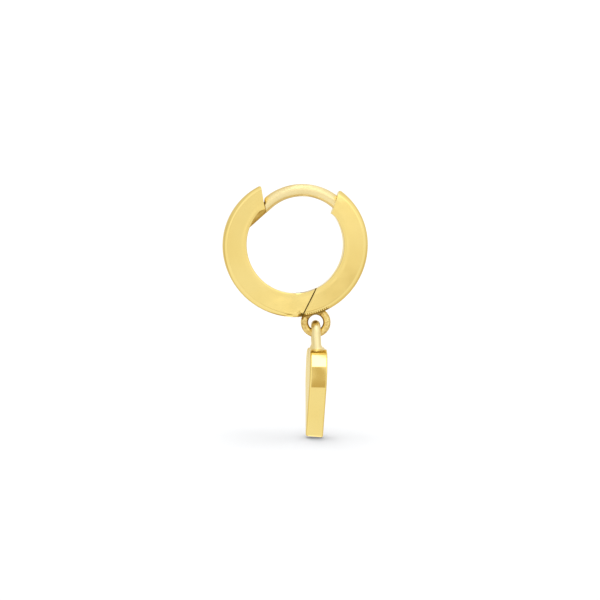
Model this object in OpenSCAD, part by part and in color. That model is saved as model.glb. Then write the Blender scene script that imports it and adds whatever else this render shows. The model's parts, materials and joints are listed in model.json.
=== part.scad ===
/* [Hoop] */
// Outside diameter of the closed hoop
hoop_d = 12.1; // [11.8:0.1:12.6]
// Depth of the hoop's wall, from its outside to its bore
hoop_wall = 2; // [1.9:0.05:2.2]
// Width of the hoop across its two flat sides
hoop_w = 2.3; // [2.2:0.1:3]
// Rounding of the hoop's two outer edges
edge_r = 0.38; // [0.25:0.01:0.45]
// Bevel of the hoop's two inner edges
inner_bevel = 0.1; // [0.05:0.01:0.15]
// Radius of the tighter outer arc that draws each half in towards its upper end
crown_r = 5.55; // [5.5:0.05:5.7]
// Place round the hoop where the front half's tighter arc starts
front_crown_a = 192; // [188:1:196]
// Place round the hoop where the back half's tighter arc starts
back_crown_a = 0; // [-4:1:6]

/* [Upper ends] */
// Place of the front half's end face round the hoop
front_end_a = 123; // [120:0.5:125]
// Lean of the front half's end face from upright, top to the left when negative
front_end_lean = -9.2; // [-12:0.2:-6]
// Place of the back half's end face round the hoop
back_end_a = 47.6; // [45:0.2:50]
// Lean of the back half's end face from upright
back_end_lean = 18.6; // [15:0.2:22]
// Rounding of the two pointed tips
tip_r = 0.2; // [0.1:0.02:0.26]

/* [Hinge] */
// Place of the hinge seam round the hoop
seam_a = -78.4; // [-80:0.2:-77]
// Lean of the seam from upright
seam_lean = 26.7; // [25:0.1:28]
// Gap between the two halves along the seam
seam_gap = 0.1; // [0.06:0.01:0.14]
// Radius of the knuckle and of the fork's two cheeks
knuckle_r = 0.55; // [0.5:0.01:0.6]
// Width of the knuckle between the cheeks
knuckle_w = 0.8; // [0.7:0.05:0.9]
// Diameter of the hinge pin
pin_d = 0.6; // [0.5:0.02:0.64]

/* [Ear post] */
// Diameter of the post's wire
post_d = 1.04; // [1:0.02:1.08]
// Diameter of the post's thinner end, which snaps into the front half
post_end_d = 0.8; // [0.7:0.02:0.84]
// Radius of the post's bend, along the middle of the wire
post_bend_r = 4.31; // [4.2:0.01:4.4]
// Middle of the post's bend across the hoop, from the hoop's middle
post_x = 0.61; // [0.55:0.01:0.65]
// Middle of the post's bend above the hoop's middle
post_z = 0.21; // [0.15:0.01:0.25]
// Length of the post's thinner end, from the end of the bend
post_end_l = 2.3; // [2.1:0.05:2.4]

/* [Eyelet] */
// Place of the eyelet round the hoop
eyelet_a = -75.05; // [-76:0.05:-72]
// Radius of the eyelet's hole
eyelet_hole_r = 0.65; // [0.63:0.01:0.68]
// Diameter of the eyelet's wire
eyelet_wire_d = 0.57; // [0.5:0.01:0.57]

/* [Heart charm] */
// Width of the heart
heart_w = 7.8; // [7.2:0.1:8.2]
// Height of the heart, from its two crowns to its point
heart_h = 7.46; // [7:0.02:8]
// Thickness of the heart's plate
heart_t = 1.45; // [1.2:0.05:1.6]
// Radius of the heart's two lobes
lobe_r = 2; // [1.9:0.05:2.1]
// Rounding of the heart's point
heart_tip_r = 0.4; // [0.3:0.05:0.5]
// Lean of the hanging heart, point to the left
heart_lean = 1.8; // [0:0.1:2.5]
// Diameter of the bail's wire
bail_wire_d = 0.76; // [0.7:0.02:0.78]
// Radius of the bail's bend, along the middle of the wire
bail_bend_r = 0.75; // [0.74:0.01:0.85]
// Height of the bail's top above the heart's crowns
bail_rise = 2.33; // [2.2:0.01:2.6]

/* [Hidden] */
$fn = 96;
gold = "#f0d787";
pale_gold = "#f7e3a0";
deep_gold = "#e2c36c";

far = 12;
over = 0.5;
spare_a = 20;
quarter = 90;
into_hollow = 3;
corner_reach = 6;
corner_spare = 0.001;
hoop_r = hoop_d / 2;
bore_r = hoop_r - hoop_wall;
mid_r = hoop_r - hoop_wall / 2;
half_w = hoop_w / 2;

pin_fit = 0.01;
cheek_fit = 0.03;
side_fit = 0.05;
knuckle_drop = 0.02;
near_cheek_cover = 0.4;
pin_recess = 0.03;

post_r = post_d / 2;
post_end_r = post_end_d / 2;
post_root_a = 32;
post_sweep = 113;
post_straight_a = 132;
socket_fit = 0.02;
shoulder_gap = 0.1;
shoulder_r = 0.33;
catch_fit = 0.08;
post_end_inset = 0.02;

eyelet_rise = 0.02;
bail_gap = 0.08;
leg_sink = 0.75;
saddle_r = 0.75;
saddle_t = 1.1;
saddle_rise = 0.1;

function along(a) = [cos(a), sin(a)];
function unit(v) = v / norm(v);
function up_line(lean) = [sin(lean), cos(lean)];
function right_of(lean) = [cos(lean), -sin(lean)];

// A cut is a straight line across the wall: a point on it and its lean
function cut(a, lean, shift = 0) = [mid_r * along(a) + shift * right_of(lean), lean];
function on_cut(c, t) = c[0] + t * up_line(c[1]);

// Middle of the rounding between a cut and a round outline; side is +1 for metal on the right
function round_middle(c, side, rim_at, rim_r, r, way) =
    let (q = c[0] + side * r * right_of(c[1]) - rim_at, d = up_line(c[1]), run = q * d)
    rim_at + q + (way * sqrt(run * run - q * q + (rim_r - r) * (rim_r - r)) - run) * d;

front_end = cut(front_end_a, front_end_lean);
back_end = cut(back_end_a, back_end_lean);
seam = cut(seam_a, seam_lean);
seam_back = cut(seam_a, seam_lean, seam_gap);

crown_shift = hoop_r - crown_r;
front_crown_at = crown_shift * along(front_crown_a);
back_crown_at = crown_shift * along(back_crown_a);

hinge_at = round_middle(seam, -1, [0, 0], hoop_r, knuckle_r, -1);
knuckle_back = [hinge_at - knuckle_r * right_of(seam_lean), seam_lean];
knuckle_root = cut(seam_a, seam_lean, seam_gap + over);
fork_floor = [hinge_at - (knuckle_r + seam_gap) * right_of(seam_lean), seam_lean];

post_at = [post_x, post_z];
post_end_start = post_at
    + (post_bend_r - post_r + post_end_inset + post_end_r) * along(post_straight_a);
post_end_tip = post_end_start + post_end_l * along(post_straight_a + 90);
shoulder_cut = cut(front_end_a, front_end_lean, shoulder_gap);

eyelet_r = eyelet_hole_r + eyelet_wire_d / 2;
eyelet_at = (hoop_r + eyelet_rise + eyelet_hole_r) * along(eyelet_a);
bail_r = bail_wire_d / 2;
bail_top = eyelet_at[1] - eyelet_hole_r + bail_gap + bail_wire_d;
bail_bend_z = bail_top - bail_r - bail_bend_r;
heart_top = bail_top - bail_rise;
lobe_y = heart_w / 2 - lobe_r;
lobe_z = heart_h / 2 - lobe_r;
point_z = heart_tip_r - heart_h / 2;
heart_side_a = asin((lobe_r - heart_tip_r) / norm([lobe_y, lobe_z - point_z]))
    + atan(lobe_y / (lobe_z - point_z));

// The hoop is drawn about its own middle and set so that the post's crown is the origin
module in_frame() {
    translate([-post_x, 0, -post_z - post_bend_r]) children();
}

// Turns a drawing of the hoop's side view upright, with the viewer on the -Y side
module upright() {
    rotate([90, 0, 0]) children();
}

module slab(w) {
    upright() translate([0, 0, -w / 2]) linear_extrude(w) children();
}

// Half section of a disc with rounded rims
module disc_section(r) {
    translate([0, -half_w]) square([r - edge_r, hoop_w]);
    translate([0, edge_r - half_w]) square([r, hoop_w - 2 * edge_r]);
    for (side = [-1, 1]) translate([r - edge_r, side * (half_w - edge_r)]) circle(edge_r);
}

module disc_sector(at, r, from, sweep) {
    upright() translate([at[0], at[1], 0]) rotate([0, 0, from]) rotate_extrude(angle = sweep)
        disc_section(r);
}

module bore() {
    wide = bore_r + inner_bevel + over;
    upright() rotate_extrude() polygon([
        [0, -half_w - over], [wide, -half_w - over], [bore_r, inner_bevel - half_w],
        [bore_r, half_w - inner_bevel], [wide, half_w + over], [0, half_w + over]
    ]);
}

// Side view outline with one corner rounded off; the circle crosses the two lines that it joins by a hair
module rounded_corner(c, side, rim_at, rim_r, r, way) {
    middle = round_middle(c, side, rim_at, rim_r, r, way);
    on_rim = rim_at + rim_r * unit(middle - rim_at);
    on_line = middle - side * r * right_of(c[1]);
    beyond = middle + corner_reach * (on_rim + on_line - 2 * middle);
    difference() {
        children();
        polygon([middle, on_rim, beyond, on_line]);
    }
    translate(middle) circle(r + corner_spare);
}

module front_outline() {
    rounded_corner(seam, -1, [0, 0], hoop_r, knuckle_r, -1)
        rounded_corner(front_end, -1, front_crown_at, crown_r, tip_r, 1)
            polygon([
                on_cut(front_end, far), [-far, far], [-far, -far],
                on_cut(seam, -far), on_cut(seam, into_hollow), on_cut(front_end, -into_hollow)
            ]);
}

module back_outline() {
    rounded_corner(back_end, 1, back_crown_at, crown_r, tip_r, 1)
        polygon([
            on_cut(back_end, far), [far, far], [far, -far],
            on_cut(seam_back, -far), on_cut(seam_back, into_hollow), on_cut(back_end, -into_hollow)
        ]);
}

module knuckle_outline() {
    rounded_corner(knuckle_back, 1, [0, 0], hoop_r, knuckle_r, -1)
        polygon([
            on_cut(knuckle_back, -far), on_cut(knuckle_back, into_hollow),
            on_cut(knuckle_root, into_hollow), on_cut(knuckle_root, -far)
        ]);
}

// Groove in the front half for the post's end, open to the hollow and to the end face
module catch_groove() {
    roof = post_end_r + catch_fit;
    slab(post_end_d + 2 * catch_fit) {
        translate(post_end_start) rotate(post_straight_a - 90)
            translate([-post_end_l, -into_hollow]) square([2 * post_end_l, roof + into_hollow]);
        translate(post_end_tip) circle(roof + corner_spare);
    }
}

module front_half() {
    color(gold) in_frame() difference() {
        intersection() {
            union() {
                disc_sector([0, 0], hoop_r, front_crown_a, 360 + seam_a + spare_a - front_crown_a);
                disc_sector(front_crown_at, crown_r, front_crown_a - quarter, quarter);
            }
            slab(hoop_w + 2 * over) front_outline();
        }
        bore();
        slab(knuckle_w + 2 * side_fit) polygon([
            on_cut(fork_floor, -far), on_cut(fork_floor, into_hollow),
            on_cut(seam_back, into_hollow), on_cut(seam_back, -far)
        ]);
        translate([hinge_at[0], half_w + over, hinge_at[1]]) rotate([90, 0, 0])
            cylinder(h = hoop_w + over - near_cheek_cover, r = pin_d / 2 + cheek_fit);
        catch_groove();
    }
}

module eyelet() {
    translate([eyelet_at[0], 0, eyelet_at[1]]) upright() rotate_extrude()
        translate([eyelet_r, 0]) circle(eyelet_wire_d / 2);
}

module post_bend(wire_r) {
    translate([post_x, 0, post_z]) upright() rotate([0, 0, post_root_a])
        rotate_extrude(angle = post_sweep) translate([post_bend_r, 0]) circle(wire_r);
}

module back_half() {
    color(gold) in_frame() difference() {
        union() {
            difference() {
                union() {
                    intersection() {
                        union() {
                            disc_sector([0, 0], hoop_r, back_crown_a - quarter, quarter);
                            disc_sector(back_crown_at, crown_r, back_crown_a,
                                back_end_a - back_crown_a + spare_a);
                        }
                        slab(hoop_w + 2 * over) back_outline();
                    }
                    intersection() {
                        disc_sector([0, 0], hoop_r - knuckle_drop, seam_a - 2 * spare_a, 3 * spare_a);
                        slab(knuckle_w) knuckle_outline();
                    }
                }
                bore();
            }
            eyelet();
        }
        translate([hinge_at[0], half_w, hinge_at[1]]) rotate([90, 0, 0])
            cylinder(h = hoop_w, r = pin_d / 2 + pin_fit);
        post_bend(post_r + socket_fit);
    }
}

// Half section of a rod with a round end
module round_ended(r, l) {
    square([r, l]);
    intersection() {
        translate([0, l]) circle(r);
        square([r, l + r]);
    }
}

module ear_post() {
    color(pale_gold) in_frame() {
        intersection() {
            post_bend(post_r);
            slab(2 * post_d)
                rounded_corner(shoulder_cut, 1, post_at, post_bend_r + post_r, shoulder_r, 1)
                    polygon([
                        on_cut(shoulder_cut, far), on_cut(shoulder_cut, -far),
                        [far, -far], [far, far]
                    ]);
        }
        translate([post_end_start[0], 0, post_end_start[1]])
            rotate([0, -post_straight_a, 0]) rotate_extrude() round_ended(post_end_r, post_end_l);
    }
}

module hinge_pin() {
    pin_l = hoop_w - near_cheek_cover - 2 * pin_recess;
    color(deep_gold) in_frame() translate([hinge_at[0], half_w - pin_recess, hinge_at[1]])
        rotate([90, 0, 0]) cylinder(h = pin_l, r = pin_d / 2);
}

module heart_outline() {
    edge_way = along(-heart_side_a);
    for (side = [-1, 1]) translate([side * lobe_y, lobe_z]) circle(lobe_r);
    translate([0, point_z]) circle(heart_tip_r);
    polygon([
        [0, point_z] + heart_tip_r * edge_way,
        [lobe_y, lobe_z] + lobe_r * edge_way,
        [lobe_y, lobe_z],
        [-lobe_y, lobe_z],
        [-lobe_y - lobe_r * edge_way[0], lobe_z + lobe_r * edge_way[1]],
        [-heart_tip_r * edge_way[0], point_z + heart_tip_r * edge_way[1]],
        [0, point_z]
    ]);
}

// The bail's loop hangs in the eyelet, and its two legs are soldered into the heart's cleft
module bail() {
    leg_l = bail_bend_z - heart_top + leg_sink;
    translate([0, 0, bail_bend_z]) rotate([90, 0, 90]) rotate_extrude(angle = 180)
        translate([bail_bend_r, 0]) circle(bail_r);
    for (side = [-1, 1]) translate([0, side * bail_bend_r, bail_bend_z - leg_l])
        cylinder(h = leg_l, r = bail_r);
}

// Solder that fills the cleft between the legs
module saddle() {
    translate([-saddle_t / 2, 0, heart_top + saddle_rise - saddle_r]) rotate([0, 90, 0])
        cylinder(h = saddle_t, r = saddle_r);
}

module heart_charm() {
    color(gold) in_frame() translate([eyelet_at[0], 0, 0]) {
        bail();
        saddle();
        translate([0, 0, heart_top - heart_h / 2]) rotate([0, heart_lean, 0])
            rotate([90, 0, 90]) translate([0, 0, -heart_t / 2]) linear_extrude(heart_t)
                heart_outline();
    }
}

front_half();
back_half();
ear_post();
hinge_pin();
heart_charm();
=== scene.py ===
import json
from math import asin, atan, atan2, cos, degrees, hypot, pi, radians, sin, sqrt, tan

import bpy
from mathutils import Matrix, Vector


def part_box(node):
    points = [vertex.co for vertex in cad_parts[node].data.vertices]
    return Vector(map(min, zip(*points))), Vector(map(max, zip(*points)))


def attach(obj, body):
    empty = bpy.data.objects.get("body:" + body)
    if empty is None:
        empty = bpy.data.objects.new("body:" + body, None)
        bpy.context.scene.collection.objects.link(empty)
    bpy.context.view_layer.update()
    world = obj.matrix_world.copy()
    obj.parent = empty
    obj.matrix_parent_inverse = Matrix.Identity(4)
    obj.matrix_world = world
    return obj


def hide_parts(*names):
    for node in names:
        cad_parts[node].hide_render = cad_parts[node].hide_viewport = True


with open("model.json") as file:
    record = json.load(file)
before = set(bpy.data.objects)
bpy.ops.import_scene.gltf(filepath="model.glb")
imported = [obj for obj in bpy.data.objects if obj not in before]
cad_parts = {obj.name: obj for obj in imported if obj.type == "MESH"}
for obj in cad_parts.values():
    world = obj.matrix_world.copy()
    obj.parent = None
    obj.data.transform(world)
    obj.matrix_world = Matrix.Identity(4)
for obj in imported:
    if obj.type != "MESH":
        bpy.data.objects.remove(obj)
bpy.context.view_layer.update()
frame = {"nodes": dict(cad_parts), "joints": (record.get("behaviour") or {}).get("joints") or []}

mm = 0.001
yAxis = (0, 1, 0)

# Sizes are millimetres, and angles are degrees round the hoop from the photo's right towards the top
hoop = {
    "outside": 12.1,
    "wall": 2.0,
    "width": 2.3,
    "outerRound": 0.38,
    "innerRound": 0.1,
    "crownRadius": 5.55,     # the tighter arc that draws the upper ends in
    "frontCrownFrom": 192,
    "backCrownFrom": 0,
    "softEdge": 0.02,
}
upperEnds = {
    "frontAt": 123, "frontLean": -9.2,
    "backAt": 47.6, "backLean": 18.6,
    "tipRadius": 0.13,
    "frontToe": 0.3, "backToe": 0.14,      # how far the bore draws in at an end
    "toeOver": 16, "toePast": 20,
    "wornShare": 0.12, "wornOver": 0.5, "wornTo": 66,
    "easeOver": 32,          # how far the slant of an end reaches round the hoop
}
hinge = {
    "seamAt": -78.4,
    "seamLean": 26.7,
    "seamGap": 0.1,
    "knuckleRadius": 0.55,
    "knuckleWidth": 0.8,
    "slotWidth": 0.9,
    "pinRadius": 0.3,
    "pinHole": 0.33,
    "pinRecess": 0.03,
    "pinEdge": 0.03,
    "pinInset": 0.5, "pinDome": 1.006,     # the middle of each end of the pin stands out a little
    "nearCheekCover": 0.4,
}

outerR = hoop["outside"] / 2
boreR = outerR - hoop["wall"]
midR = outerR - hoop["wall"] / 2
halfW = hoop["width"] / 2


def polar(a, r=1.0):
    return Vector((cos(radians(a)), sin(radians(a)))) * r


def upLine(lean):
    return Vector((sin(radians(lean)), cos(radians(lean))))


def rightOf(lean):
    return Vector((cos(radians(lean)), -sin(radians(lean))))


# A cut is a straight line across the wall in the side view: a point on it and its lean
def cutAt(a, lean, shift=0.0):
    return polar(a, midR) + rightOf(lean) * shift, lean


# Where a line crosses a circle, at the crossing nearer to a given point
def crossing(at, way, centre, r, near):
    q = at - centre
    run = q.dot(way)
    root = sqrt(max(run * run - q.dot(q) + r * r, 0))
    both = [at + way * (-run + root), at + way * (-run - root)]
    return min(both, key=lambda p: (p - near).length)


def lineCross(at, way, other, otherWay):
    across = way.x * otherWay.y - way.y * otherWay.x
    gap = other - at
    return at + way * ((gap.x * otherWay.y - gap.y * otherWay.x) / across)


# Angle round the hoop at which a cut by the hinge crosses the middle of the wall
def midAngle(cut):
    p = crossing(cut[0], upLine(cut[1]), Vector((0, 0)), midR, polar(hinge["seamAt"], midR))
    return degrees(atan2(p.y, p.x))


seam = cutAt(hinge["seamAt"], hinge["seamLean"])
seamBack = cutAt(hinge["seamAt"], hinge["seamLean"], hinge["seamGap"])


# Middle of the hinge: a circle that touches the seam and the rim from inside
def hingeMiddle():
    r, lean = hinge["knuckleRadius"], hinge["seamLean"]
    q = seam[0] - rightOf(lean) * r
    d = upLine(lean)
    run = q.dot(d)
    return q - d * (run + sqrt(run * run - q.dot(q) + (outerR - r) ** 2))


hingeAt = hingeMiddle()

# The hoop's own middle in the frame, from the joint that the front half turns on
hingeJoint = next(joint for joint in frame["joints"] if joint["name"] == "front_hinge")
hoopX = hingeJoint["pos_m"][0] / mm - hingeAt.x
hoopZ = hingeJoint["pos_m"][2] / mm - hingeAt.y
print("hoop middle", round(hoopX, 4), round(hoopZ, 4))

pitch = hinge["knuckleRadius"] + hinge["seamGap"]
forkFloor = (hingeAt - rightOf(hinge["seamLean"]) * pitch, hinge["seamLean"])
knuckleEnd = (hingeAt - rightOf(hinge["seamLean"]) * hinge["knuckleRadius"], hinge["seamLean"])

bench = {
    "ringStep": 1.4,         # degrees between the rings of a swept piece
    "cheekSteps": 3, "knuckleSteps": 4,
    "outerSteps": 10,
    "innerSteps": 4,
    "cornerReach": 6.5,      # degrees before a cut end that the short steps take
    "cornerSteps": 16,
    "cornerNear": 1.6,       # how far a ring may be from a corner that draws it in, in mm
    "solderVoxel": 0.035,    # grain of the soldered joints' mesh, in mm
    "flatRings": (4.55, 5.05, 5.45, 5.63),
    "softenFrom": 34,        # edges sharper than this, in degrees, are softened
    "smoothBelow": 50, "solderSmoothBelow": 40,
    "oneSpot": 1e-5,         # corners nearer than this count as one
    "cornerSlack": 0.01,     # how near to its place a corner is looked for, in mm
}


# Small bench helpers
def clearSelection():
    if bpy.context.object and bpy.context.object.mode != "OBJECT":
        bpy.ops.object.mode_set(mode="OBJECT")
    bpy.ops.object.select_all(action="DESELECT")


def editMode(what="FACE"):
    bpy.ops.object.mode_set(mode="EDIT")
    bpy.ops.mesh.select_mode(type=what)


def objectMode():
    bpy.ops.object.mode_set(mode="OBJECT")


def pickOnly(piece):
    clearSelection()
    piece.select_set(True)
    bpy.context.view_layer.objects.active = piece


# Selects faces or edges of the piece in edit mode by a test on their corners
def pickFaces(piece, test):
    editMode("FACE")
    bpy.ops.mesh.select_all(action="DESELECT")
    objectMode()
    mesh = piece.data
    for face in mesh.polygons:
        if test([mesh.vertices[i].co for i in face.vertices], face):
            face.select = True
    editMode("FACE")


def pickEdges(piece, test):
    editMode("EDGE")
    bpy.ops.mesh.select_all(action="DESELECT")
    objectMode()
    mesh = piece.data
    for edge in mesh.edges:
        if test([mesh.vertices[i].co for i in edge.vertices]):
            edge.select = True
    editMode("EDGE")


def useModifier(piece, kind, **settings):
    pickOnly(piece)
    added = piece.modifiers.new(kind.title(), kind)
    for name, value in settings.items():
        setattr(added, name, value)
    bpy.ops.object.modifier_apply(modifier=added.name)


def cutAway(piece, cutter, operation="DIFFERENCE"):
    useModifier(piece, "BOOLEAN", object=cutter, operation=operation, solver="EXACT")
    bpy.data.objects.remove(cutter)


def softenEdges(piece, width, fromAngle=bench["softenFrom"]):
    useModifier(piece, "BEVEL", width=width, segments=3, limit_method="ANGLE",
                angle_limit=radians(fromAngle), miter_outer="MITER_ARC", use_clamp_overlap=True)


# Shades the piece smooth, with its flat faces kept flat
def shadeGold(piece, below):
    pickOnly(piece)
    bpy.ops.object.shade_smooth_by_angle(angle=radians(below))
    useModifier(piece, "WEIGHTED_NORMAL", mode="FACE_AREA", weight=50, keep_sharp=True)


def finishEdges(piece, width, fromAngle=bench["softenFrom"]):
    softenEdges(piece, width, fromAngle)
    shadeGold(piece, bench["smoothBelow"])


# Runs what has been joined into one skin, as solder does
def melt(piece, smoothing):
    useModifier(piece, "REMESH", mode="VOXEL", voxel_size=bench["solderVoxel"])
    useModifier(piece, "SMOOTH", factor=0.5, iterations=smoothing)


# Puts the piece's place, turn and size into its mesh
def applyPlace(piece):
    pickOnly(piece)
    bpy.ops.object.transform_apply(location=True, rotation=True, scale=True)


# From hoop-centred millimetres to the frame's metres
def toFrame(piece):
    piece.location = (hoopX * mm, 0, hoopZ * mm)
    piece.scale = (mm, mm, mm)
    applyPlace(piece)


def settle(piece, name, node, body, slotName, *materials):
    piece.name = name
    piece.data.name = name
    piece.data.materials.clear()
    for material in materials:
        piece.data.materials.append(material)
    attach(piece, body)
    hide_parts(node)
    return piece


# Another of the piece's materials, where a test on a face's middle in hoop-centred mm and its normal says so
def dress(piece, index, test):
    for face in piece.data.polygons:
        at = Vector((face.center.x / mm - hoopX, face.center.z / mm - hoopZ))
        if test(at, face.center.y / mm, face.normal):
            face.material_index = index


def besideCut(at, cut):
    return (at - cut[0]).dot(rightOf(cut[1]))


def onCut(co, cut, slack=0.002):
    return abs((Vector((co.x, co.z)) - cut[0]).dot(rightOf(cut[1]))) < slack


# Stretches the whole mesh, turns it about the Y axis and moves it in the hoop's plane
def shapeMesh(size, at, turnY=0.0):
    editMode("FACE")
    bpy.ops.mesh.select_all(action="SELECT")
    bpy.ops.transform.resize(value=size)
    bpy.ops.transform.rotate(value=radians(turnY), orient_axis="Y", center_override=(0, 0, 0))
    bpy.ops.transform.translate(value=(at[0], 0, at[1]))
    objectMode()


def addBox(name, size, at, turnY=0.0):
    clearSelection()
    bpy.ops.mesh.primitive_cube_add(size=1, location=(0, 0, 0))
    box = bpy.context.object
    box.name = name
    shapeMesh(size, at, turnY)
    return box


def addSolder(size, at, turnY=0.0):
    clearSelection()
    bpy.ops.mesh.primitive_uv_sphere_add(segments=48, ring_count=24, radius=1, location=(0, 0, 0))
    solder = bpy.context.object
    solder.name = "solder"
    shapeMesh(size, at, turnY)
    return solder


# A round rod across the hoop, from y0 to y1
def addRod(name, r, y0, y1, at):
    clearSelection()
    bpy.ops.mesh.primitive_cylinder_add(vertices=64, radius=r, depth=y1 - y0,
                                        location=(at[0], (y0 + y1) / 2, at[1]),
                                        rotation=(pi / 2, 0, 0))
    rod = bpy.context.object
    rod.name = name
    applyPlace(rod)
    return rod


def setUpright(piece, a):
    pickOnly(piece)
    editMode("FACE")
    bpy.ops.mesh.select_all(action="SELECT")
    bpy.ops.transform.rotate(value=radians(a), orient_axis="Y", center_override=(0, 0, 0))


def rightWayOut(piece):
    pickOnly(piece)
    editMode("FACE")
    bpy.ops.mesh.select_all(action="SELECT")
    bpy.ops.mesh.remove_doubles(threshold=bench["oneSpot"])
    bpy.ops.mesh.normals_make_consistent(inside=False)
    objectMode()


def report(piece, note):
    links = {}
    for face in piece.data.polygons:
        for key in face.edge_keys:
            links[key] = links.get(key, 0) + 1
    loose = sum(1 for n in links.values() if n != 2)
    print(note, len(piece.data.vertices), "corners,", loose, "open edges")


# Section of the hoop's wall at the photo's right, as one flat face with its corners rounded
def wallSection(name, splitAt):
    slack = bench["cornerSlack"]
    clearSelection()
    bpy.ops.mesh.primitive_plane_add(size=1, location=(0, 0, 0))
    piece = bpy.context.object
    piece.name = name
    editMode("FACE")
    bpy.ops.mesh.select_all(action="SELECT")
    bpy.ops.transform.resize(value=(hoop["wall"], hoop["width"], 1))
    bpy.ops.transform.translate(value=(midR, 0, 0))
    for y in (splitAt, -splitAt):
        bpy.ops.mesh.select_all(action="SELECT")
        bpy.ops.mesh.bisect(plane_co=(0, y, 0), plane_no=yAxis, threshold=bench["oneSpot"])
    for x in bench["flatRings"]:
        bpy.ops.mesh.select_all(action="SELECT")
        bpy.ops.mesh.bisect(plane_co=(x, 0, 0), plane_no=(1, 0, 0), threshold=bench["oneSpot"])
    for r, size, steps in ((outerR, hoop["outerRound"], bench["outerSteps"]),
                           (boreR, hoop["innerRound"], bench["innerSteps"])):
        bpy.ops.mesh.select_mode(type="VERT")
        bpy.ops.mesh.select_all(action="DESELECT")
        objectMode()
        for v in piece.data.vertices:
            v.select = abs(v.co.x - r) < slack and abs(v.co.y) > halfW - slack
        bpy.ops.object.mode_set(mode="EDIT")
        bpy.ops.mesh.bevel(offset=size, segments=steps, affect="VERTICES", profile=0.5)
    objectMode()
    return piece


# Turns what is selected round the hoop's axis, in steps
def sweep(fromA, toA, steps):
    bpy.ops.mesh.spin(steps=steps, angle=radians(toA - fromA), center=(0, 0, 0), axis=yAxis)


# Sweeps the picked faces with long steps first and short ones for the rounded corner at the end
def sweepToCorner(fromA, toA, steps):
    nearA = toA + (bench["cornerReach"] if fromA > toA else -bench["cornerReach"])
    sweep(fromA, nearA, steps)
    sweep(nearA, toA, bench["cornerSteps"])


# Picks the faces across the wall, at one angle round the hoop, whose distance from the middle passes
def pickAcross(piece, a, test):
    way = polar(a)
    pickFaces(piece, lambda corners, face: all(
        abs(Vector((co.x, co.z)).normalized().dot(way) - 1) < bench["oneSpot"] for co in corners)
        and test(abs(sum(co.y for co in corners) / len(corners))))


# Round wire bent about the Y axis and cut square at both ends: each leg is its last angle and its steps
def bentWire(name, r, bend, fromA, *legs, sides=48):
    clearSelection()
    bpy.ops.mesh.primitive_circle_add(vertices=sides, radius=r, fill_type="NGON", location=(0, 0, 0))
    wire = bpy.context.object
    wire.name = name
    editMode("FACE")
    bpy.ops.mesh.select_all(action="SELECT")
    bpy.ops.transform.translate(value=(bend, 0, 0))
    bpy.ops.transform.rotate(value=radians(fromA), orient_axis="Y", center_override=(0, 0, 0))
    bpy.ops.mesh.select_all(action="SELECT")
    for toA, steps in legs:
        sweep(fromA, toA, steps)
        fromA = toA
    objectMode()
    return wire


def ease(x):
    x = min(max(x, 0), 1)
    return x * x * (3 - 2 * x)


# Slant of the rings from the radius: parallel to the cut beyond its place,
# and eased to nothing round the hoop
def slantAt(a, lowA, lowOut, highA, highOut, reach):
    if a <= lowA:
        return lowOut - a
    if a >= highA:
        return highOut - a
    low = (lowOut - lowA) * ease(1 - (a - lowA) / reach)
    high = (highOut - highA) * ease(1 - (highA - a) / reach)
    return low + high


# The rim that a half's corners are rounded into: the hoop's circle, or the tighter one at the top
roundRim = {"middle": Vector((0, 0)), "radius": outerR, "upwards": -1}


def crownRim(fromA, side):
    return {"middle": polar(fromA, outerR - hoop["crownRadius"]), "radius": hoop["crownRadius"],
            "upwards": 1, "from": fromA, "side": side}


# Middle of a circle that touches a cut, on one side of it, and the rim from inside
def roundMiddle(cut, side, rim, r):
    up = upLine(cut[1])
    return crossing(cut[0] + rightOf(cut[1]) * side * r, up, rim["middle"], rim["radius"] - r,
                    cut[0] + up * rim["upwards"])


# What rounds the corner between an upper end and the rim
def roundedEnd(cut, side, rim):
    r = upperEnds["tipRadius"]
    return {"middle": roundMiddle(cut, side, rim, r), "radius": r, "rim": rim, "towards": side}


# Draws a corner of the mesh in where the rim turns round into a cut end
def roundedIn(spot, start, way, depth, corner):
    if (start - corner["middle"]).length > bench["cornerNear"]:
        return spot
    endWay = Vector((-way.y, way.x)) * corner["towards"]
    left = max(corner["radius"] - depth, 0)
    rimWay = (corner["middle"] - corner["rim"]["middle"]).normalized()
    if (start - corner["middle"]).dot(endWay) <= left * rimWay.dot(endWay):
        return spot
    turned = crossing(start, way, corner["middle"], left, corner["middle"] + way * left)
    return min(spot, turned, key=lambda p: (p - start).dot(way))


# Slides every corner of the mesh along its own circle, so that each ring lies on its slanted line.
# Angles count from turn, which is in a gap of the piece
def layRings(piece, pivotR, turn, slantOf, crown=None, corners=()):
    middle = Vector((0, 0))
    for v in piece.data.vertices:
        r = hypot(v.co.x, v.co.z)
        a = (degrees(atan2(v.co.z, v.co.x)) - turn) % 360 + turn
        way = polar(a + slantOf(a))
        start = polar(a, pivotR)
        spot = crossing(start, way, middle, r, start)
        if crown and r > pivotR:
            turned = degrees(atan2(spot.y, spot.x))
            past = (turned - crown["from"] + 180) % 360 - 180
            if past * crown["side"] > 0:
                spot = crossing(start, way, crown["middle"], r - outerR + crown["radius"], spot)
        if r > pivotR:
            for corner in corners:
                spot = roundedIn(spot, start, way, outerR - r, corner)
        v.co.x, v.co.z = spot


# Draws the bore in a little towards an upper end
def drawIn(piece, endA, side, lean, toe):
    for v in piece.data.vertices:
        spot = Vector((v.co.x, v.co.z))
        r = spot.length
        past = side * (degrees(atan2(spot.y, spot.x)) - endA)
        if r < midR and -upperEnds["toePast"] < past < upperEnds["toeOver"]:
            share = ease(1 - past / upperEnds["toeOver"]) * (midR - r) / (midR - boreR)
            v.co.x, v.co.z = crossing(spot, upLine(lean), Vector((0, 0)), r - toe * share, spot)


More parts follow.
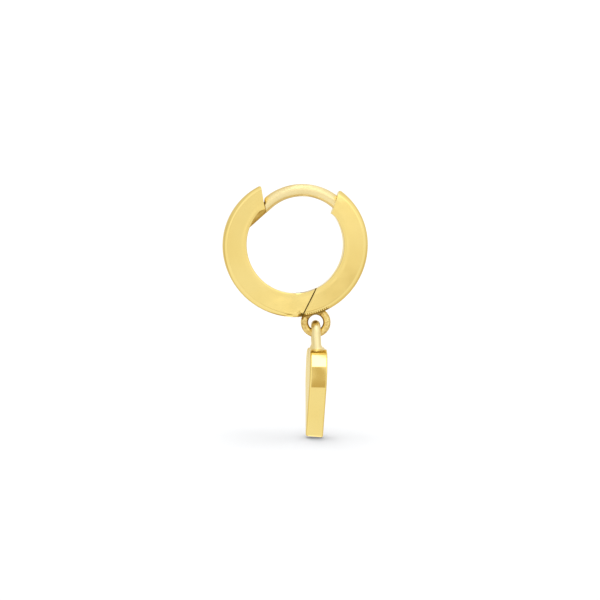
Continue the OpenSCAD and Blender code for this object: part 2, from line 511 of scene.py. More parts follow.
post = {
    "wire": 1.04,
    "endWire": 0.8,
    "bend": 4.31,
    "x": 0.61, "z": 0.21,
    "rootAt": 32, "socketTo": 65,
    "straightAt": 132,
    "bendSteps": 60, "lastLeg": 6,
    "slantOver": 26,
    "endLength": 2.3,
    "endInset": 0.02,
    "endSink": 0.25,         # how far the thinner end starts inside the wire
    "tipShare": 0.96,
    "shoulderGap": 0.1,
    "shoulderRound": 0.16, "outerFrom": 0.1,
    "softEdge": 0.02, "softenFrom": 50,
    "catchFit": 0.08, "grooveLow": 3.0, "grooveRound": 0.95,
    "socketFit": 0.02,
    # How far the thinner end's painted shade reaches
    "darkSlack": 0.015, "darkFacing": 0.9, "darkBack": 0.6,
}

postEndStart = Vector((post["x"], post["z"])) + polar(
    post["straightAt"], post["bend"] - post["wire"] / 2 + post["endInset"] + post["endWire"] / 2)


def earPost():
    shoulderCut = cutAt(upperEnds["frontAt"], upperEnds["frontLean"], post["shoulderGap"])
    middle = Vector((post["x"], post["z"]))
    bend, bendA = post["bend"], post["straightAt"]
    spot = crossing(shoulderCut[0] - middle, upLine(shoulderCut[1]), Vector((0, 0)), bend, polar(bendA, bend))
    endA = degrees(atan2(spot.y, spot.x))
    endOut = 90 - upperEnds["frontLean"]
    piece = bentWire("ear_post", post["wire"] / 2, bend, post["rootAt"],
                     (endA - post["lastLeg"], post["bendSteps"]), (endA, 1), sides=64)
    layRings(piece, bend, -90, lambda a: slantAt(a, -90, -90, endA, endOut, post["slantOver"]))

    # Past the place where the wire goes straight, its corners lie on the straight lines
    for v in piece.data.vertices:
        at = Vector((v.co.x, v.co.z))
        if at.x < 0 and degrees(atan2(at.y, at.x)) > bendA:
            v.co.x, v.co.z = lineCross(polar(bendA, at.length), polar(bendA + 90),
                                       shoulderCut[0] - middle, upLine(shoulderCut[1]))
    rightWayOut(piece)
    piece.location = (post["x"], 0, post["z"])
    applyPlace(piece)

    # The shoulder's outer corner is well rounded, its inner one only softened
    pickEdges(piece, lambda ends: all(
        onCut(co, shoulderCut) and (Vector((co.x, co.z)) - middle).length > bend + post["outerFrom"]
        for co in ends))
    bpy.ops.mesh.bevel(offset=post["shoulderRound"], segments=8, affect="EDGES", profile=0.5)
    objectMode()
    report(piece, "post bent")

    # The thinner end runs on straight and has a round tip
    r, sink = post["endWire"] / 2, post["endSink"]
    reach = post["endLength"] + r
    clearSelection()
    bpy.ops.mesh.primitive_cylinder_add(vertices=48, radius=r, depth=reach + sink, location=(0, 0, 0))
    thin = bpy.context.object
    pickEdges(thin, lambda ends: all(co.z > reach / 2 for co in ends))
    bpy.ops.mesh.bevel(offset=r * post["tipShare"], segments=12, affect="EDGES", profile=0.5)
    objectMode()
    start = postEndStart + polar(bendA + 90, (reach - sink) / 2)
    thin.rotation_euler = (0, radians(-bendA), 0)
    thin.location = (start.x, 0, start.y)
    applyPlace(thin)
    cutAway(piece, thin, "UNION")
    finishEdges(piece, post["softEdge"], post["softenFrom"])
    report(piece, "post done")
    toFrame(piece)
    return piece


# Painted shade on the thinner end, down in the front half's groove: its rod, its tip and the flat of the
# shoulder get a darker gold
def thinEndShade(at, y, normal):
    out = polar(post["straightAt"] + 90)
    off = at - postEndStart
    onRod = hypot(off.x * out.y - off.y * out.x, y) < post["endWire"] / 2 + post["darkSlack"]
    facing = Vector((normal.x, normal.z)).dot(out) > post["darkFacing"]
    return at.x < 0 and at.y > 0 and off.dot(out) > -post["darkBack"] and (onRod or facing)


def frontHalf():
    floorA = midAngle(forkFloor) + 360
    seamA = hinge["seamAt"] + 360
    seamOut = 270 - hinge["seamLean"]
    endA = upperEnds["frontAt"]
    endOut = 90 - upperEnds["frontLean"]
    slot = hinge["slotWidth"] / 2
    piece = wallSection("front_half", slot)
    setUpright(piece, floorA)
    bpy.ops.mesh.select_all(action="SELECT")
    sweepToCorner(floorA, endA, round((floorA - endA) / bench["ringStep"]))
    objectMode()

    # The two cheeks of the fork go on past the fork's floor
    pickAcross(piece, floorA, lambda y: y > slot)
    sweepToCorner(floorA, seamA, bench["cheekSteps"])
    objectMode()

    crown = crownRim(hoop["frontCrownFrom"], -1)
    tip = roundedEnd(cutAt(endA, upperEnds["frontLean"]), -1, crown)
    cheek = {"middle": hingeAt, "radius": hinge["knuckleRadius"], "rim": roundRim, "towards": 1}
    layRings(piece, midR, 60, lambda a: slantAt(a, endA, endOut, floorA, seamOut, upperEnds["easeOver"]),
             crown, [tip, cheek])
    drawIn(piece, endA, 1, upperEnds["frontLean"], upperEnds["frontToe"])
    rightWayOut(piece)
    report(piece, "front half swept")

    # Groove for the post's end, and the pin's holes in the two cheeks
    roof, low = post["endWire"] / 2 + post["catchFit"], post["grooveLow"]
    up, back = polar(post["straightAt"]), polar(post["straightAt"] - 90)
    groove = addBox("groove", (2 * post["endLength"] + roof, 2 * roof, roof + low),
                    postEndStart + up * (roof - low) / 2 - back * roof / 2, post["straightAt"] - 90)
    far = postEndStart + up * roof - back * (post["endLength"] + roof)
    pickEdges(groove, lambda ends: all(
        (Vector((co.x, co.z)) - far).length < bench["cornerSlack"] for co in ends))
    bpy.ops.mesh.bevel(offset=roof * post["grooveRound"], segments=8, affect="EDGES")
    objectMode()
    cutAway(piece, groove)
    holeFrom = hinge["nearCheekCover"] - halfW
    cutAway(piece, addRod("pin hole", hinge["pinHole"], holeFrom, halfW + 1, hingeAt))
    finishEdges(piece, hoop["softEdge"])
    report(piece, "front half done")
    toFrame(piece)
    return piece


# Which faces of the hinge and the catch get painted shade, a darker gold where they lie in shadow, in mm and
# as shares of a normal
insides = {
    "slotSlack": 0.03, "floorSlack": 0.01,
    "cheekDepth": 0.3, "cheekFrom": 0.12, "cheekFlat": 0.93,
    "frontFrom": -1, "backBelow": -3,
    "edgeSlack": 0.002, "rimSlack": 0.005, "cutSlack": 0.001, "facing": 0.5,
    "catchHalf": 0.6, "catchFrom": 0.1, "catchPast": 0.6,
}


# Painted shade on the front half: the cheeks' rounded corner below the pin, the seam's face and the inside of
# the fork's slot
def hingeShadeFront(at, y, normal):
    fromPin = at - hingeAt
    if (fromPin.length > hinge["knuckleRadius"] - insides["cheekDepth"] and fromPin.y < 0
            and fromPin.x > insides["cheekFrom"] and abs(normal.y) < insides["cheekFlat"]):
        return True
    if at.y >= 0 or at.x <= insides["frontFrom"]:
        return False
    if besideCut(at, seam) > -hoop["softEdge"] - insides["edgeSlack"] and normal.x > insides["facing"]:
        return True
    inSlot = abs(y) < hinge["slotWidth"] / 2 + insides["slotSlack"]
    return inSlot and besideCut(at, forkFloor) > -insides["floorSlack"]


# Painted shade in the groove that the post's thinner end lies in
def catchGrooveShade(at, y, normal):
    axis = polar(post["straightAt"] + 90)
    off = at - postEndStart
    aside = abs(off.x * axis.y - off.y * axis.x)
    return (abs(y) < hinge["slotWidth"] / 2 + insides["slotSlack"] and at.x < 0 and at.y > 0
            and aside < insides["catchHalf"]
            and insides["catchFrom"] < off.dot(axis) < post["endLength"] + insides["catchPast"])


eyelet = {
    "at": -75.05, "hole": 0.65, "wire": 0.57, "rise": 0.02,
    "castOn": 0.03,
    "solder": (0.3, 0.62, 0.95), "solderIn": 0.02, "holeFit": 0.01, "smoothing": 4,
    "beads": 11, "beadRadius": 0.085, "beadsOver": (-81, -63), "beadsAt": (5.85, 1.08),
    "castFrom": 0.01,        # off the hoop's rim, where the cast grain starts
    # Where the painted shade in the ring's hole and along the solder's crease lies
    "darkSeat": 0.08, "darkSeatSides": 0.2, "darkHole": 0.05,
    "darkFrom": 5.79, "darkBefore": 3, "darkAfter": 1, "darkSides": 0.8, "darkLift": 0.008,
}

eyeAt = polar(eyelet["at"], outerR + eyelet["rise"] + eyelet["hole"])


# The cast ring under the hoop, with the solder that runs out between it and the rim
def eyeletRing():
    clearSelection()
    bpy.ops.mesh.primitive_torus_add(major_radius=eyelet["hole"] + eyelet["wire"] / 2,
                                     minor_radius=eyelet["wire"] / 2 + eyelet["castOn"],
                                     major_segments=96, minor_segments=32,
                                     location=(eyeAt.x, 0, eyeAt.y), rotation=(pi / 2, 0, 0))
    ring = bpy.context.object
    ring.name = "eyelet"
    applyPlace(ring)
    seat = polar(eyelet["at"], outerR - eyelet["solderIn"])
    solder = addSolder(eyelet["solder"], seat, eyelet["at"])
    cutAway(solder, addRod("hole", eyelet["hole"] - eyelet["holeFit"], -halfW, halfW, eyeAt))
    cutAway(ring, solder, "UNION")
    melt(ring, eyelet["smoothing"])
    return ring


# A row of small solder beads along each edge of the hoop, over the eyelet
def solderBeads():
    beads = []
    fromA, toA = eyelet["beadsOver"]
    beadR, beadY = eyelet["beadsAt"]
    for i in range(eyelet["beads"]):
        spot = polar(fromA + (toA - fromA) * i / (eyelet["beads"] - 1), beadR)
        for side in (-1, 1):
            clearSelection()
            bpy.ops.mesh.primitive_ico_sphere_add(subdivisions=2, radius=eyelet["beadRadius"],
                                                  location=(spot.x, side * beadY, spot.y))
            beads.append(bpy.context.object)
    pickOnly(beads[0])
    for bead in beads:
        bead.select_set(True)
    bpy.ops.object.join()
    applyPlace(beads[0])
    return beads[0]


# Polishing has worn the flats a little towards the back half's tip
def thinTip(piece, tipAt):
    for v in piece.data.vertices:
        past = (Vector((v.co.x, v.co.z)) - tipAt).dot(polar(upperEnds["wornTo"])) + upperEnds["wornOver"]
        if past > 0 and v.co.x > 0:
            v.co.y *= 1 - upperEnds["wornShare"] * (past / upperEnds["wornOver"]) ** 2


# Short bent rod that opens the blind socket for the post's root
def socketCutter():
    rod = bentWire("socket", post["wire"] / 2 + post["socketFit"], post["bend"], post["rootAt"],
                   (post["socketTo"], 12))
    rightWayOut(rod)
    rod.location = (post["x"], 0, post["z"])
    applyPlace(rod)
    return rod


def backHalf():
    seamA = midAngle(seamBack)
    seamOut = -90 - hinge["seamLean"]
    knuckleA = midAngle(knuckleEnd)
    endA = upperEnds["backAt"]
    endOut = 90 - upperEnds["backLean"]
    tongue = hinge["knuckleWidth"] / 2
    piece = wallSection("back_half", tongue)
    setUpright(piece, seamA)
    bpy.ops.mesh.select_all(action="SELECT")
    sweepToCorner(seamA, endA, round((endA - seamA) / bench["ringStep"]))
    objectMode()

    # The knuckle goes on past the seam
    pickAcross(piece, seamA, lambda y: y < tongue)
    sweepToCorner(seamA, knuckleA, bench["knuckleSteps"])
    objectMode()

    crown = crownRim(hoop["backCrownFrom"], 1)
    tip = roundedEnd(cutAt(endA, upperEnds["backLean"]), 1, crown)
    knuckle = {"middle": hingeAt, "radius": hinge["knuckleRadius"], "rim": roundRim, "towards": -1}
    layRings(piece, midR, -180, lambda a: slantAt(a, seamA, seamOut, endA, endOut, upperEnds["easeOver"]),
             crown, [tip, knuckle])
    drawIn(piece, endA, -1, upperEnds["backLean"], upperEnds["backToe"])
    thinTip(piece, tip["middle"])
    rightWayOut(piece)
    report(piece, "back half swept")
    cutAway(piece, socketCutter())
    softenEdges(piece, hoop["softEdge"])
    cutAway(piece, eyeletRing(), "UNION")
    cutAway(piece, solderBeads(), "UNION")
    shadeGold(piece, bench["solderSmoothBelow"])
    report(piece, "back half done")
    toFrame(piece)
    return piece


# Painted shade on the back half: the tongue past the seam and the seam's face
def hingeShadeBack(at, y, normal):
    if at.y >= insides["backBelow"] or at.length >= outerR + insides["rimSlack"]:
        return False
    past = besideCut(at, seamBack)
    onSeam = past < hoop["softEdge"] + insides["edgeSlack"] and normal.x < -insides["facing"]
    return past < -insides["cutSlack"] or onSeam


def onEyelet(at, y, normal):
    return at.length > outerR + eyelet["castFrom"]


# Painted shade, a dark line by the solder: in the ring's hole, where the ring meets the rim, and along the
# hoop's edges
def solderCreaseShade(at, y, normal):
    if onEyelet(at, y, normal):
        inHole = (at - eyeAt).length < eyelet["hole"] + eyelet["darkHole"]
        return inHole or (at.length < outerR + eyelet["darkSeat"] and abs(y) > eyelet["darkSeatSides"])
    fromA, toA = eyelet["beadsOver"]
    a = degrees(atan2(at.y, at.x))
    offBand = hypot(at.length - outerR + hoop["outerRound"], abs(y) - halfW + hoop["outerRound"])
    return (fromA - eyelet["darkBefore"] < a < toA + eyelet["darkAfter"] and abs(y) > eyelet["darkSides"]
            and at.length > eyelet["darkFrom"] and offBand < hoop["outerRound"] + eyelet["darkLift"])


def hingePin():
    nearEnd = hinge["nearCheekCover"] + hinge["pinRecess"] - halfW
    piece = addRod("hinge_pin", hinge["pinRadius"], nearEnd, halfW - hinge["pinRecess"], hingeAt)
    pickFaces(piece, lambda corners, face: abs(face.normal.y) > 0.9)
    bpy.ops.mesh.inset(thickness=hinge["pinRadius"] * hinge["pinInset"])
    bpy.ops.transform.resize(value=(1, hinge["pinDome"], 1))
    objectMode()
    finishEdges(piece, hinge["pinEdge"])
    report(piece, "hinge pin done")
    toFrame(piece)
    return piece


charm = {
    "width": 7.8, "height": 7.46, "thick": 1.45,
    "lobe": 2.0, "lobeSteps": 110,
    "tip": 0.4, "tipSteps": 16,
    "lean": 1.8, "draft": 0.07,
    "frontRound": 0.17, "frontSteps": 8,
    "backRound": 0.12, "backSteps": 4,
    "bailWire": 0.76, "bailFlare": 5, "bailLean": 3, "bailBend": 0.75, "bailRise": 2.33, "bailGap": 0.08,
    "legSink": 0.75,
    "solder": (0.66, 1.0, 0.6), "solderDrop": 0.46, "smoothing": 10,
    "footRadius": 0.72, "footTop": 0.9, "footTall": 0.75,
    "mirrorSlack": 1e-4, "planeSlack": 1e-3,
    "bailFrom": 0.02, "solderWithin": 0.9, "solderDown": 0.9,
    "flatFacing": 0.99, "wallFacing": 0.05,
}

bailTop = eyeAt.y - eyelet["hole"] + charm["bailGap"] + charm["bailWire"]
charmTop = bailTop - charm["bailRise"]


def heartPlate():
    lobe, tip = charm["lobe"], charm["tip"]
    lobeX = charm["width"] / 2 - lobe
    lobeZ = charm["height"] / 2 - lobe
    tipZ = tip - charm["height"] / 2
    cleftZ = sqrt(lobe ** 2 - lobeX ** 2)
    sideA = degrees(asin((lobe - tip) / hypot(lobeX, lobeZ - tipZ)) + atan(lobeX / (lobeZ - tipZ)))
    cleftA = 180 - degrees(asin(cleftZ / lobe))
    clearSelection()
    bpy.ops.mesh.primitive_plane_add(size=1, location=(0, 0, 0))
    piece = bpy.context.object
    editMode("VERT")
    bpy.ops.mesh.select_all(action="SELECT")
    bpy.ops.mesh.merge(type="CENTER")
    bpy.ops.transform.translate(value=(0, 0, lobeZ + cleftZ))

    # Round the lobe, down the straight side and round the point, then the same on the left
    bpy.ops.mesh.spin(steps=charm["lobeSteps"], angle=radians(-sideA - cleftA),
                      center=(lobeX, 0, lobeZ), axis=yAxis)
    side = Vector((0, tipZ)) + polar(-sideA, tip) - Vector((lobeX, lobeZ)) - polar(-sideA, lobe)
    bpy.ops.mesh.extrude_region_move(TRANSFORM_OT_translate={"value": (side.x, 0, side.y)})
    bpy.ops.mesh.spin(steps=charm["tipSteps"], angle=radians(sideA - 90), center=(0, 0, tipZ), axis=yAxis)
    bpy.ops.mesh.select_all(action="SELECT")
    bpy.ops.mesh.duplicate()
    bpy.ops.transform.resize(value=(-1, 1, 1), center_override=(0, 0, 0))
    bpy.ops.mesh.select_all(action="SELECT")
    bpy.ops.mesh.remove_doubles(threshold=charm["mirrorSlack"])
    bpy.ops.mesh.edge_face_add()
    bpy.ops.transform.translate(value=(0, -charm["thick"] / 2, 0))
    bpy.ops.mesh.extrude_region_move(TRANSFORM_OT_translate={"value": (0, charm["thick"], 0)})
    narrow = 1 - charm["draft"] / (charm["width"] / 2)
    bpy.ops.transform.resize(value=(narrow, 1, narrow), center_override=(0, 0, 0))
    objectMode()
    rightWayOut(piece)
    for y, size, steps in ((charm["thick"] / 2, charm["frontRound"], charm["frontSteps"]),
                           (-charm["thick"] / 2, charm["backRound"], charm["backSteps"])):
        pickEdges(piece, lambda ends: all(abs(co.y - y) < charm["planeSlack"] for co in ends))
        bpy.ops.mesh.bevel(offset=size, segments=steps, affect="EDGES", profile=0.5)
        objectMode()
    piece.rotation_euler = (0, 0, pi / 2)
    applyPlace(piece)
    report(piece, "heart cut out")
    return piece


# The bail's loop and legs, run together with the solder in the heart's cleft
def bailLoop(bendZ):
    r, bend = charm["bailWire"] / 2, charm["bailBend"]
    loop = bentWire("bail", r, bend, 0, (180, 40), sides=40)
    pickFaces(loop, lambda corners, face: len(corners) > 4)
    legZ = charmTop - bendZ - charm["legSink"]
    bpy.ops.mesh.extrude_region_move(TRANSFORM_OT_translate={"value": (0, 0, legZ)})
    objectMode()
    for v in loop.data.vertices:
        if v.co.z < 0:
            v.co.x *= 1 - v.co.z * tan(radians(charm["bailFlare"])) / bend
    loop.rotation_euler = (0, 0, pi / 2)
    loop.location = (0, 0, bendZ)
    applyPlace(loop)
    rightWayOut(loop)
    cutAway(loop, addSolder(charm["solder"], (0, charmTop - charm["solderDrop"])), "UNION")
    for side in (-1, 1):
        clearSelection()
        bpy.ops.mesh.primitive_cone_add(vertices=48, radius1=charm["footRadius"],
                                        radius2=r * charm["footTop"], depth=charm["footTall"],
                                        location=(0, side * bend, charmTop))
        foot = bpy.context.object
        applyPlace(foot)
        cutAway(loop, foot, "UNION")
    melt(loop, charm["smoothing"])
    for v in loop.data.vertices:
        v.co.x += max(0, bendZ - v.co.z) * tan(radians(charm["bailLean"]))
    return loop


def heartCharm():
    piece = heartPlate()
    piece.rotation_euler = (0, radians(charm["lean"]), 0)
    piece.location = (0, 0, charmTop - charm["height"] / 2)
    applyPlace(piece)
    cutAway(piece, bailLoop(bailTop - charm["bailWire"] / 2 - charm["bailBend"]), "UNION")
    piece.location = (eyeAt.x, 0, 0)
    applyPlace(piece)
    shadeGold(piece, bench["solderSmoothBelow"])
    report(piece, "heart charm done")
    toFrame(piece)
    return piece


# Painted highlight, a paler gold on the bail, its feet and the solder between them, but not the heart's flats
# or its edge wall
def bailHighlight(at, y, normal):
    if at.y > charmTop - charm["bailFrom"]:
        return True
    nearFeet = abs(y) < charm["solderWithin"] and at.y > charmTop - charm["solderDown"]
    return nearFeet and charm["wallFacing"] <= abs(normal.x) <= charm["flatFacing"]


# What Blender's noise mostly stays within
noiseRange = (0.35, 0.65)


# Polished yellow gold: two shades of it in clouds, finer and coarser polish, a faint wave and a fine grain
def goldMaterial(name, look):
    made = bpy.data.materials.new(name)
    made.use_nodes = True
    nodes, links = made.node_tree.nodes, made.node_tree.links
    nodes.clear()
    out = nodes.new("ShaderNodeOutputMaterial")
    skin = nodes.new("ShaderNodeBsdfPrincipled")
    links.new(skin.outputs["BSDF"], out.inputs["Surface"])
    skin.inputs["Metallic"].default_value = 1
    place = nodes.new("ShaderNodeTexCoord")

    def cloud(scale, detail, rough=0.5):
        noise = nodes.new("ShaderNodeTexNoise")
        noise.inputs["Scale"].default_value = scale
        noise.inputs["Detail"].default_value = detail
        noise.inputs["Roughness"].default_value = rough
        links.new(place.outputs["Object"], noise.inputs["Vector"])
        return noise.outputs["Fac"]

    def ramp(value, low, high):
        span = nodes.new("ShaderNodeMapRange")
        span.inputs["From Min"].default_value, span.inputs["From Max"].default_value = noiseRange
        span.inputs["To Min"].default_value = low
        span.inputs["To Max"].default_value = high
        links.new(value, span.inputs["Value"])
        return span.outputs["Result"]

    tint = nodes.new("ShaderNodeMixRGB")
    tint.inputs["Color1"].default_value = (*look["gold"], 1)
    tint.inputs["Color2"].default_value = (*look["deepGold"], 1)
    links.new(ramp(cloud(look["tintScale"], 2), 0, 1), tint.inputs["Fac"])
    links.new(tint.outputs["Color"], skin.inputs["Base Color"])
    links.new(ramp(cloud(look["polishScale"], 4), *look["rough"]), skin.inputs["Roughness"])

    def bump(kind, height):
        relief = nodes.new("ShaderNodeBump")
        relief.inputs["Strength"].default_value = look[kind + "Strength"]
        relief.inputs["Distance"].default_value = look[kind + "Depth"] * mm
        links.new(height, relief.inputs["Height"])
        return relief

    wave = bump("wave", cloud(look["waveScale"], 1))
    grain = bump("grain", cloud(look["grainScale"], 5, 0.6))
    links.new(wave.outputs["Normal"], grain.inputs["Normal"])
    links.new(grain.outputs["Normal"], skin.inputs["Normal"])
    return made


# The shades and polishes of the gold, with scales per metre and depths in mm
looks = {
    "hoop": {"gold": (0.93, 0.74, 0.28), "deepGold": (0.91, 0.71, 0.25), "rough": (0.045, 0.09),
             "tintScale": 300, "polishScale": 900, "waveScale": 250, "waveStrength": 0.7, "waveDepth": 0.01,
             "grainScale": 9000, "grainStrength": 0.04, "grainDepth": 0.002},
    "wire": {"gold": (0.95, 0.80, 0.43), "deepGold": (0.93, 0.77, 0.39), "rough": (0.3, 0.38),
             "tintScale": 400, "polishScale": 1200, "waveScale": 400, "waveStrength": 0.2, "waveDepth": 0.01,
             "grainScale": 9000, "grainStrength": 0.05, "grainDepth": 0.002},
    "cast": {"gold": (0.93, 0.73, 0.29), "deepGold": (0.66, 0.44, 0.13), "rough": (0.14, 0.3),
             "tintScale": 5000, "polishScale": 4000, "waveScale": 5500,
             "waveStrength": 0.5, "waveDepth": 0.015,
             "grainScale": 14000, "grainStrength": 0.3, "grainDepth": 0.006},
    # A paler gold: a painted highlight on the bail
    "bail": {"gold": (0.97, 0.84, 0.48), "deepGold": (0.95, 0.81, 0.42), "rough": (0.26, 0.34),
             "tintScale": 400, "polishScale": 1200, "waveScale": 400, "waveStrength": 0.2, "waveDepth": 0.01,
             "grainScale": 9000, "grainStrength": 0.05, "grainDepth": 0.002},
    # A darker gold: painted shade on the post's thinner end and in its groove
    "catch": {"gold": (0.64, 0.44, 0.12), "deepGold": (0.54, 0.35, 0.08), "rough": (0.25, 0.35),
              "tintScale": 2000, "polishScale": 2500, "waveScale": 1800,
              "waveStrength": 0.3, "waveDepth": 0.01,
              "grainScale": 9000, "grainStrength": 0.2, "grainDepth": 0.006},
    # A darker gold: painted shade in the hinge's recesses, the eyelet's hole and the solder's crease
    "inner": {"gold": (0.46, 0.31, 0.07), "deepGold": (0.31, 0.2, 0.04), "rough": (0.35, 0.5),
              "tintScale": 2000, "polishScale": 2500, "waveScale": 1800,
              "waveStrength": 0.3, "waveDepth": 0.01,
              "grainScale": 9000, "grainStrength": 0.3, "grainDepth": 0.006},
}
golds = {name: goldMaterial(name + " gold", look) for name, look in looks.items()}

# Besides their own golds, the pieces get painted shade in the hinge, the catch and along the solder, and a
# painted highlight on the bail
front = settle(frontHalf(), "front_half.hoop", "front_half", "front", "hoop_gold",
               golds["hoop"], golds["inner"], golds["catch"])
dress(front, 1, hingeShadeFront)
dress(front, 2, catchGrooveShade)
back = settle(backHalf(), "back_half.hoop", "back_half", "back", "hoop_gold",
              golds["hoop"], golds["cast"], golds["inner"])
dress(back, 1, onEyelet)
dress(back, 2, hingeShadeBack)
dress(back, 2, solderCreaseShade)
wire = settle(earPost(), "ear_post.wire", "ear_post", "back", "post_gold", golds["wire"], golds["catch"])
dress(wire, 1, thinEndShade)
settle(hingePin(), "hinge_pin.rod", "hinge_pin", "back", "post_gold", golds["wire"])
heart = settle(heartCharm(), "heart_charm.heart", "heart_charm", "charm", "charm_gold",
               golds["hoop"], golds["bail"])
dress(heart, 1, bailHighlight)

# The solids that the pieces stand in for get the hoop's gold too
for node in frame["nodes"].values():
    node.data.materials.clear()
    node.data.materials.append(golds["hoop"])
print("pieces settled and dressed")

# Studio: a pale floor just under the heart's point, and soft light from all round
studio = {
    "aim": (-0.185, 0, -9.157),
    "frameHeight": 50.04,
    "distance": 300,
    "azimuth": -2.5,
    "elevation": 1.5,
    "sensor": 36,
    "floorDrop": 0.03,
    "floorSize": 1.2,        # in metres
    "floorColour": (0.945, 0.95, 0.957),
    "lampTilts": range(-60, 61, 12), "lampSpread": 20, "lampPower": 2.1,
    "floorLight": 0.46,      # plain light from all round that the floor gets beside the lamps
    "backdrop": 1.1,
}


def addCamera():
    a, e = radians(studio["azimuth"]), radians(studio["elevation"])
    back = Vector((sin(a) * cos(e), -cos(a) * cos(e), sin(e)))
    data = bpy.data.cameras.new("camera")
    data.sensor_width = studio["sensor"]
    data.lens = studio["sensor"] * studio["distance"] / studio["frameHeight"]
    data.clip_start, data.clip_end = 0.01, 10
    camera = bpy.data.objects.new("camera", data)
    bpy.context.scene.collection.objects.link(camera)
    camera.location = Vector(studio["aim"]) * mm + back * studio["distance"] * mm
    camera.rotation_mode = "QUATERNION"
    camera.rotation_quaternion = (-back).to_track_quat("-Z", "Y")
    bpy.context.scene.camera = camera


# A long strip of soft light overhead, from the viewer's side to the back, which the metal doesn't mirror
def addLamps():
    total = sum(cos(radians(tilt)) for tilt in studio["lampTilts"])
    for tilt in studio["lampTilts"]:
        data = bpy.data.lights.new("top lamp", "SUN")
        data.angle = radians(studio["lampSpread"])
        data.energy = studio["lampPower"] / total
        lamp = bpy.data.objects.new("top lamp", data)
        bpy.context.scene.collection.objects.link(lamp)
        lamp.rotation_euler = (radians(tilt), 0, 0)
        lamp.visible_glossy = False
        lamp.visible_camera = False


def addFloor():
    clearSelection()
    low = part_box("heart_charm")[0].z - studio["floorDrop"] * mm
    bpy.ops.mesh.primitive_plane_add(size=studio["floorSize"], location=(0, 0, low))
    floor = bpy.context.object
    floor.name = "floor"
    paint = bpy.data.materials.new("white floor")
    paint.use_nodes = True
    skin = paint.node_tree.nodes["Principled BSDF"]
    skin.inputs["Base Color"].default_value = (*studio["floorColour"], 1)
    skin.inputs["Roughness"].default_value = 1
    skin.inputs["Specular IOR Level"].default_value = 0
    floor.data.materials.append(paint)
    floor.visible_glossy = False


# What the polished metal mirrors, in upright columns from the left to the right: from and to where
# a column comes in on X, and its light by height angle, as a level or as a colour
amber = (0.90, 0.77, 0.38)
edgeGrey = (0.74, 0.72, 0.66)
softGrey = (0.84, 0.81, 0.72)
tent = [
    (None, None, [(-180, 0.8), (-150, 0.75), (-118, 0.8), (-90, 0.62), (-60, 0.8), (-30, edgeGrey),
                  (100, edgeGrey), (125, 0.85), (150, 0.8), (180, 0.8)]),
    (-0.95, -0.85, [(-180, 0.85), (-150, 0.8), (-118, 0.82), (-95, 0.85), (-85, 1.0), (-30, 1.02), (0, 1.02),
                    (12, 0.98), (26, softGrey), (100, softGrey), (125, 0.82), (150, 0.8), (180, 0.85)]),
    (-0.66, -0.5, [(-180, 0.85), (-150, 0.8), (-118, 0.85), (-102, 0.85), (-85, 1.03), (-30, 1.03), (0, 1.03),
                   (6, 1.1), (24, 1.12), (50, 1.03), (98, 0.92), (112, 0.78), (150, 0.78), (180, 0.85)]),
    (-0.3, -0.2, [(-180, 0.85), (-150, 0.62), (-125, 0.5), (-102, 0.7), (-85, 1.03), (-30, 1.06), (0, 1.02),
                  (6, 1.06), (24, 1.02), (50, 1.0), (98, 0.92), (112, 0.78), (150, 0.78), (180, 0.85)]),
    (-0.060, -0.052, [(-180, amber), (-172, amber), (-166, 0.95), (-150, 1.1), (-120, 1.5), (-98, 1.2),
                      (-88, 0.98), (-73, 0.98), (-70, 0.62), (-20, 0.69), (31, 0.7), (36, 3.0), (103, 3.0),
                      (110, 0.9), (150, 0.85), (166, 0.9), (172, amber), (180, amber)]),
    (-0.032, -0.027, [(-180, 0.9), (-150, 1.1), (-120, 1.5), (-98, 1.2), (-88, 0.98),
                      (-73, 0.98), (-70, 0.62), (-38, 0.64), (-30, 0.97), (31, 0.97), (36, 3.0), (103, 3.0),
                      (110, 0.9), (150, 0.85), (180, 0.9)]),
    (0.002, 0.012, [(-180, 0.92), (-160, 0.72), (-135, 0.62), (-108, 0.85), (-85, 0.94), (-50, 1.0),
                    (-14, 1.1), (-2.1, 0.99), (-0.7, 0.935), (2, 0.96), (6, 0.96), (14, 0.95), (34, 0.94),
                    (92, 0.93), (125, 0.95), (150, 0.85), (180, 0.92)]),
    (0.034, 0.038, [(-180, 0.92), (-160, 0.72), (-135, 0.62), (-108, 0.85), (-85, 0.94), (-50, 1.0),
                    (-14, 1.1), (-2.1, 1.35), (-0.7, 0.97), (2, 0.97), (6, 0.98), (14, 0.97), (34, 0.96),
                    (92, 0.95), (125, 0.95), (150, 0.85), (180, 0.92)]),
    (0.0445, 0.051, [(-180, 0.95), (-160, 0.75), (-135, 0.62), (-108, 0.85), (-80, 0.95), (-30, 1.0),
                     (-2.1, 0.66), (-0.7, 0.97), (0.7, 1.26), (6, 1.12), (20, 1.04), (60, 1.02), (90, 1.0),
                     (130, 1.0), (155, 0.85), (180, 0.95)]),
    (0.07, 0.12, [(-180, 0.95), (-160, 0.75), (-135, 0.62), (-108, 0.85), (-80, 0.95), (-30, 1.0),
                  (0, 1.0), (6, 1.3), (20, 1.45), (60, 1.4), (90, 1.25), (130, 1.0),
                  (155, 0.85), (180, 0.95)]),
    (0.33, 0.42, [(-180, 0.9), (-160, 0.78), (-118, 0.8), (-90, 0.75), (-60, 0.9), (-30, 0.95), (0, 1.0),
                  (20, 1.08), (60, 1.08), (90, 0.95), (130, 0.9), (155, 0.85), (180, 0.9)]),
    (0.75, 0.97, [(-180, 0.85), (-150, 0.8), (-118, 0.8), (-90, 0.62), (-60, 0.8), (-30, softGrey),
                  (30, softGrey), (60, 1.0), (100, 0.8), (125, 0.85), (150, 0.85), (180, 0.85)]),
]


# Bright light is white, and what is dark is browner too
def tone(level):
    if isinstance(level, tuple):
        return *level, 1
    if level >= 1:
        return level, level, level, 1
    return level, level ** 1.43, level ** 2.5, 1


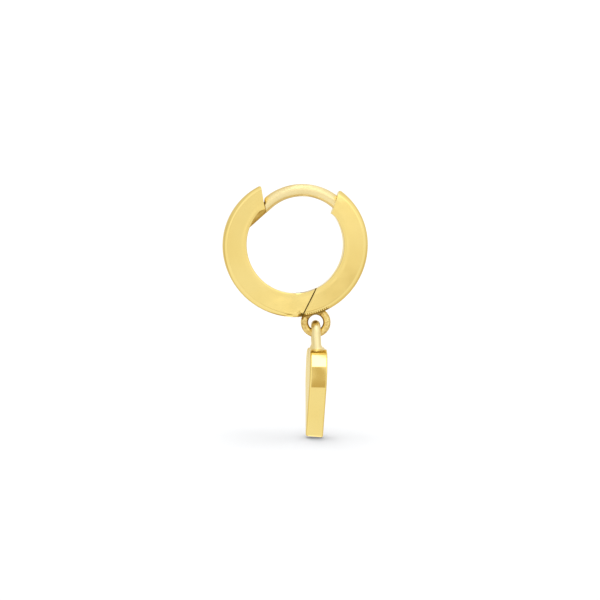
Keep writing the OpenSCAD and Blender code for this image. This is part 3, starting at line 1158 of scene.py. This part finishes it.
def addStudioLight():
    world = bpy.data.worlds.new("studio")
    bpy.context.scene.world = world
    world.use_nodes = True
    nodes, links = world.node_tree.nodes, world.node_tree.links
    nodes.clear()
    out = nodes.new("ShaderNodeOutputWorld")
    place = nodes.new("ShaderNodeTexCoord")
    apart = nodes.new("ShaderNodeSeparateXYZ")
    links.new(place.outputs["Generated"], apart.inputs["Vector"])

    def math(kind, a, b=None):
        node = nodes.new("ShaderNodeMath")
        node.operation = kind
        for socket, value in zip(node.inputs, (a, b)):
            if value is None:
                continue
            if isinstance(value, (int, float)):
                socket.default_value = value
            else:
                links.new(value, socket)
        return node.outputs[0]

    # Height angle of a direction: 0 at the camera, 90 overhead, 180 behind the earring, below as minus
    front = math("MULTIPLY", apart.outputs["Y"], -1)
    height = math("ARCTAN2", apart.outputs["Z"], front)
    share = math("ADD", math("DIVIDE", height, 2 * pi), 0.5)

    def column(stops):
        bands = nodes.new("ShaderNodeValToRGB")
        links.new(share, bands.inputs["Fac"])
        bands.color_ramp.interpolation = "EASE"
        elements = bands.color_ramp.elements
        while len(elements) < len(stops):
            elements.new(0.5)
        for element, (angle, level) in zip(elements, stops):
            element.position = angle / 360 + 0.5
            element.color = tone(level)
        return bands.outputs["Color"]

    glow = column(tent[0][2])
    for fromX, toX, stops in tent[1:]:
        step = nodes.new("ShaderNodeMapRange")
        step.interpolation_type = "SMOOTHSTEP"
        step.inputs["From Min"].default_value = fromX
        step.inputs["From Max"].default_value = toX
        links.new(apart.outputs["X"], step.inputs["Value"])
        blend = nodes.new("ShaderNodeMixRGB")
        links.new(step.outputs["Result"], blend.inputs["Fac"])
        links.new(glow, blend.inputs["Color1"])
        links.new(column(stops), blend.inputs["Color2"])
        glow = blend.outputs["Color"]

    # The camera sees a white backdrop, the gold mirrors the tent, and the floor gets plain light
    ray = nodes.new("ShaderNodeLightPath")
    studioGlow = nodes.new("ShaderNodeBackground")
    links.new(glow, studioGlow.inputs["Color"])
    # The gold throws none of it on the floor, where it would fill the shadow
    links.new(math("LESS_THAN", ray.outputs["Diffuse Depth"], 0.5), studioGlow.inputs["Strength"])
    backdrop = nodes.new("ShaderNodeBackground")
    backdrop.inputs["Strength"].default_value = studio["backdrop"]
    floorGlow = nodes.new("ShaderNodeBackground")
    floorGlow.inputs["Strength"].default_value = studio["floorLight"]
    for plain in (backdrop, floorGlow):
        plain.inputs["Color"].default_value = (1, 1, 1, 1)
    glow = floorGlow.outputs[0]
    for kind, light in (("Is Camera Ray", backdrop), ("Is Glossy Ray", studioGlow)):
        mix = nodes.new("ShaderNodeMixShader")
        links.new(ray.outputs[kind], mix.inputs["Fac"])
        links.new(glow, mix.inputs[1])
        links.new(light.outputs[0], mix.inputs[2])
        glow = mix.outputs[0]
    links.new(glow, out.inputs["Surface"])


addCamera()
addFloor()
addLamps()
addStudioLight()
bpy.context.scene.view_settings.view_transform = "Standard"
print("studio set")
